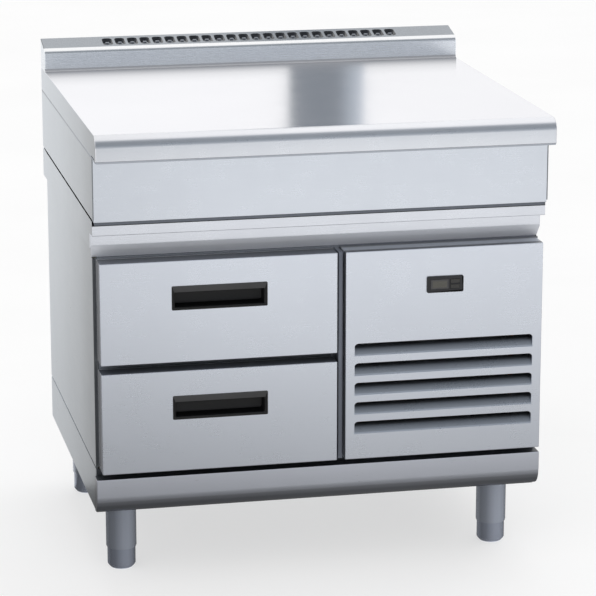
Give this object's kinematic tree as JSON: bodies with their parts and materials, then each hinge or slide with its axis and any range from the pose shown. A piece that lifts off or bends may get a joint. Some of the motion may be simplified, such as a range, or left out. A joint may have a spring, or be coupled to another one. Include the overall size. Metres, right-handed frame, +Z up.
{
  "type": "refrigerated base",
  "caption": "Free-standing refrigerated base with insulated drawers, a louvred machine compartment and adjustable legs, under a worktop bench with a low vented upstand.",
  "frame": {"origin": "on the floor, in the middle of the module's footprint", "axes": "+X to the right seen from the front, +Y to the back, +Z up; the drawers open towards -Y"},
  "size_m": [0.9, 0.805, 0.976],
  "materials": {
    "bright_steel": "satin",
    "side_steel": "satin",
    "dark_steel": "satin",
    "inner_steel": "satin",
    "galvanised_steel": "matte",
    "aluminium_fins": "satin",
    "copper": "satin",
    "black_paint": "satin",
    "black_plastic": "matte",
    "dark_plastic": "satin",
    "grey_plastic": "matte",
    "smoked_lens": "gloss",
    "foam": "matte",
    "gasket_rubber": "matte"
  },
  "bodies": {
    "cabinet": {"worktop": "bright_steel", "rear_upstand": "bright_steel", "fascia_panel": "bright_steel", "bench_side_left": "side_steel", "bench_side_right": "side_steel", "bench_back": "side_steel", "bench_floor": "galvanised_steel", "top_frame": "bright_steel", "cabinet_side_left": "side_steel", "cabinet_side_right": "side_steel", "cabinet_back": "galvanised_steel", "base_frame": "side_steel", "front_rail": "dark_steel", "leg_front_left": "dark_steel", "leg_front_right": "dark_steel", "leg_rear_left": "dark_steel", "leg_rear_right": "dark_steel", "face_frame": "bright_steel", "partition_panel": "galvanised_steel", "inner_liner": "inner_steel", "insulation": "foam", "slide_rack_left": "galvanised_steel", "slide_rack_right": "galvanised_steel", "louvre_panel": "bright_steel", "controller_case": "dark_plastic", "display_lens": "smoked_lens", "unit_tray": "galvanised_steel", "condenser": "aluminium_fins", "fan_shroud": "black_paint", "fan_motor": "black_paint", "compressor": "black_paint", "discharge_pipe": "copper", "suction_pipe": "copper", "filter_drier": "copper", "electrical_box": "grey_plastic", "cable_gland": "black_plastic", "evaporator_housing": "inner_steel", "evaporator": "aluminium_fins"},
    "upper_drawer": {"drawer_front_upper": "bright_steel", "drawer_liner_upper": "inner_steel", "gasket_upper": "gasket_rubber", "handle_upper": "black_plastic", "drawer_box_upper": "inner_steel"},
    "upper_slides": {"slide_middle_upper_left": "galvanised_steel", "slide_middle_upper_right": "galvanised_steel"},
    "lower_drawer": {"drawer_front_lower": "bright_steel", "drawer_liner_lower": "inner_steel", "gasket_lower": "gasket_rubber", "handle_lower": "black_plastic", "drawer_box_lower": "inner_steel"},
    "lower_slides": {"slide_middle_lower_left": "galvanised_steel", "slide_middle_lower_right": "galvanised_steel"},
    "condenser_fan": {"condenser_fan": "aluminium_fins"},
    "evaporator_fan": {"evaporator_fan": "black_plastic"},
    "front_left_foot": {"foot_front_left": "dark_steel"},
    "front_right_foot": {"foot_front_right": "dark_steel"},
    "rear_left_foot": {"foot_rear_left": "dark_steel"},
    "rear_right_foot": {"foot_rear_right": "dark_steel"},
    "upper_key": {"controller_key_upper": "grey_plastic"},
    "lower_key": {"controller_key_lower": "grey_plastic"}
  },
  "joints": [
    {"name": "upper_drawer_slide", "type": "slide", "parent": "cabinet", "child": "upper_drawer", "axis": [0, -1, 0], "range_m": [0, 0.5]},
    {"name": "upper_slides_slide", "type": "slide", "parent": "cabinet", "child": "upper_slides", "axis": [0, -1, 0], "range_m": [0, 0.25]},
    {"name": "lower_drawer_slide", "type": "slide", "parent": "cabinet", "child": "lower_drawer", "axis": [0, -1, 0], "range_m": [0, 0.5]},
    {"name": "lower_slides_slide", "type": "slide", "parent": "cabinet", "child": "lower_slides", "axis": [0, -1, 0], "range_m": [0, 0.25]},
    {"name": "condenser_fan_spin", "type": "hinge", "parent": "cabinet", "child": "condenser_fan", "pos_m": [0.24095, -0.2231, 0.3521], "axis": [0, 1, 0], "continuous": true},
    {"name": "evaporator_fan_spin", "type": "hinge", "parent": "cabinet", "child": "evaporator_fan", "pos_m": [-0.20755, 0.2537, 0.591], "axis": [0, 1, 0], "continuous": true},
    {"name": "front_left_foot_adjust", "type": "slide", "parent": "cabinet", "child": "front_left_foot", "axis": [0, 0, -1], "range_m": [0, 0.05]},
    {"name": "front_right_foot_adjust", "type": "slide", "parent": "cabinet", "child": "front_right_foot", "axis": [0, 0, -1], "range_m": [0, 0.05]},
    {"name": "rear_left_foot_adjust", "type": "slide", "parent": "cabinet", "child": "rear_left_foot", "axis": [0, 0, -1], "range_m": [0, 0.05]},
    {"name": "rear_right_foot_adjust", "type": "slide", "parent": "cabinet", "child": "rear_right_foot", "axis": [0, 0, -1], "range_m": [0, 0.05]},
    {"name": "upper_key_press", "type": "slide", "parent": "cabinet", "child": "upper_key", "axis": [0, 1, 0], "range_m": [0, 0.0006], "stiffness_N_per_m": 1500},
    {"name": "lower_key_press", "type": "slide", "parent": "cabinet", "child": "lower_key", "axis": [0, 1, 0], "range_m": [0, 0.0006], "stiffness_N_per_m": 1500}
  ],
  "couplings": [
    {"joint": "upper_slides_slide", "follows": "upper_drawer_slide", "ratio": 0.5},
    {"joint": "lower_slides_slide", "follows": "lower_drawer_slide", "ratio": 0.5}
  ]
}
